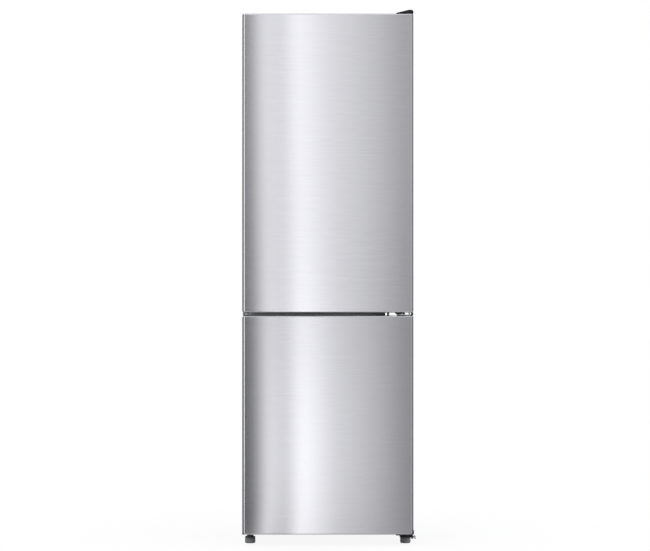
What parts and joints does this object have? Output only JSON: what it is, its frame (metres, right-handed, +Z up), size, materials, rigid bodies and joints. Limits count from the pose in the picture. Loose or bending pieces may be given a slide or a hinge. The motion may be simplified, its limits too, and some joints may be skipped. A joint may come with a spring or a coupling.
{
  "type": "bottom freezer refrigerator",
  "caption": "Tall two-door column refrigerator with the freezer below, brushed steel doors hinged at the right, shelves, drawers and a rear condenser.",
  "frame": {"origin": "on the floor, in the middle of the footprint of cabinet, doors and wall spacers", "axes": "+X to the right seen from the front, +Y to the back, +Z up"},
  "size_m": [0.6025, 0.65, 1.86],
  "materials": {
    "brushed_skin": "stainless steel sheet, brushed across",
    "casing_paint": "steel sheet with grey powder paint",
    "zinc_plate": "zinc-plated steel, dull",
    "dark_plastic": "moulded ABS, fine grain",
    "black_plastic": "moulded ABS, fine grain",
    "white_plastic": "thermoformed polystyrene, semi-gloss",
    "gasket_rubber": "soft extruded vinyl, matte",
    "insulation": "rigid polyurethane foam",
    "shelf_glass": "toughened glass, polished edge",
    "clear_plastic": "clear moulded polystyrene",
    "black_enamel": "black enamel on steel",
    "aluminium": "mill finish",
    "copper": "drawn copper"
  },
  "bodies": {
    "cabinet": {"side_panel_left": "casing_paint", "side_panel_right": "casing_paint", "top_panel": "casing_paint", "back_panel": "zinc_plate", "cabinet_foam": "insulation", "fridge_liner": "white_plastic", "freezer_liner": "white_plastic", "center_rail": "casing_paint", "base_frame": "zinc_plate", "blanking_plug_left": "gasket_rubber", "blanking_plug_right": "gasket_rubber", "top_hinge": "zinc_plate", "door_sensor": "black_plastic", "top_hinge_cover": "black_plastic", "middle_hinge": "zinc_plate", "bottom_hinge": "zinc_plate", "shelf_lower": "shelf_glass", "shelf_middle": "shelf_glass", "shelf_upper": "shelf_glass", "crisper_cover": "shelf_glass", "evaporator_cover": "white_plastic", "evaporator_coil": "aluminium", "fan_motor": "black_plastic", "fridge_air_duct": "white_plastic", "control_housing": "white_plastic", "lamp_cover": "clear_plastic", "compressor": "black_enamel", "drip_tray": "dark_plastic", "drain_hose": "dark_plastic", "condenser_coil": "black_enamel", "filter_drier": "copper", "mains_inlet": "black_plastic", "wall_spacer_left": "black_plastic", "wall_spacer_right": "black_plastic"},
    "fridge_door": {"fridge_door_skin": "brushed_skin", "fridge_door_top_cap": "dark_plastic", "fridge_door_bottom_cap": "dark_plastic", "fridge_door_core": "insulation", "fridge_door_liner": "white_plastic", "fridge_door_gasket": "gasket_rubber", "door_bin_bottle": "clear_plastic", "door_bin_middle": "clear_plastic", "door_bin_dairy": "clear_plastic"},
    "dairy_lid": {"dairy_flap": "clear_plastic"},
    "freezer_door": {"freezer_door_skin": "brushed_skin", "freezer_door_top_cap": "dark_plastic", "freezer_door_bottom_cap": "dark_plastic", "freezer_door_core": "insulation", "freezer_door_liner": "white_plastic", "freezer_door_gasket": "gasket_rubber"},
    "crisper": {"crisper_drawer": "clear_plastic"},
    "bottom_drawer": {"freezer_drawer_bottom": "clear_plastic"},
    "middle_drawer": {"freezer_drawer_middle": "clear_plastic"},
    "top_drawer": {"freezer_drawer_top": "clear_plastic"},
    "fan": {"evaporator_fan": "dark_plastic"},
    "knob": {"thermostat_knob": "white_plastic"},
    "left_foot": {"foot_left": "dark_plastic"},
    "right_foot": {"foot_right": "dark_plastic"},
    "left_roller": {"roller_left": "dark_plastic"},
    "right_roller": {"roller_right": "dark_plastic"}
  },
  "joints": [
    {"name": "fridge_door_hinge", "type": "hinge", "parent": "cabinet", "child": "fridge_door", "pos_m": [0.2825, -0.303, 1.329], "axis": [0, 0, 1], "range_deg": [0, 120]},
    {"name": "freezer_door_hinge", "type": "hinge", "parent": "cabinet", "child": "freezer_door", "pos_m": [0.2825, -0.303, 0.4175], "axis": [0, 0, 1], "range_deg": [0, 120]},
    {"name": "dairy_lid_hinge", "type": "hinge", "parent": "fridge_door", "child": "dairy_lid", "pos_m": [0, -0.259, 1.5943], "axis": [1, 0, 0], "range_deg": [0, 80]},
    {"name": "crisper_slide", "type": "slide", "parent": "cabinet", "child": "crisper", "axis": [0, -1, 0], "range_m": [0, 0.27]},
    {"name": "bottom_drawer_slide", "type": "slide", "parent": "cabinet", "child": "bottom_drawer", "axis": [0, -1, 0], "range_m": [0, 0.15]},
    {"name": "middle_drawer_slide", "type": "slide", "parent": "cabinet", "child": "middle_drawer", "axis": [0, -1, 0], "range_m": [0, 0.24]},
    {"name": "top_drawer_slide", "type": "slide", "parent": "cabinet", "child": "top_drawer", "axis": [0, -1, 0], "range_m": [0, 0.24]},
    {"name": "fan_spin", "type": "hinge", "parent": "cabinet", "child": "fan", "pos_m": [0, 0.161, 0.7], "axis": [0, 1, 0], "continuous": true},
    {"name": "knob_turn", "type": "hinge", "parent": "cabinet", "child": "knob", "pos_m": [0.09, -0.13, 1.7775], "axis": [0, 1, 0], "range_deg": [0, 270]},
    {"name": "left_foot_turn", "type": "hinge", "parent": "cabinet", "child": "left_foot", "pos_m": [-0.272, -0.238, 0.012], "axis": [0, 0, 1], "continuous": true},
    {"name": "right_foot_turn", "type": "hinge", "parent": "cabinet", "child": "right_foot", "pos_m": [0.272, -0.238, 0.012], "axis": [0, 0, 1], "continuous": true},
    {"name": "left_roller_spin", "type": "hinge", "parent": "cabinet", "child": "left_roller", "pos_m": [-0.2, 0.25, 0.013], "axis": [1, 0, 0], "continuous": true},
    {"name": "right_roller_spin", "type": "hinge", "parent": "cabinet", "child": "right_roller", "pos_m": [0.2, 0.25, 0.013], "axis": [1, 0, 0], "continuous": true}
  ],
  "couplings": [
    {"joint": "crisper_slide", "follows": "fridge_door_hinge", "m_per_rad": 0.1289},
    {"joint": "bottom_drawer_slide", "follows": "freezer_door_hinge", "m_per_rad": 0.0716},
    {"joint": "middle_drawer_slide", "follows": "freezer_door_hinge", "m_per_rad": 0.1145},
    {"joint": "top_drawer_slide", "follows": "freezer_door_hinge", "m_per_rad": 0.1145}
  ]
}
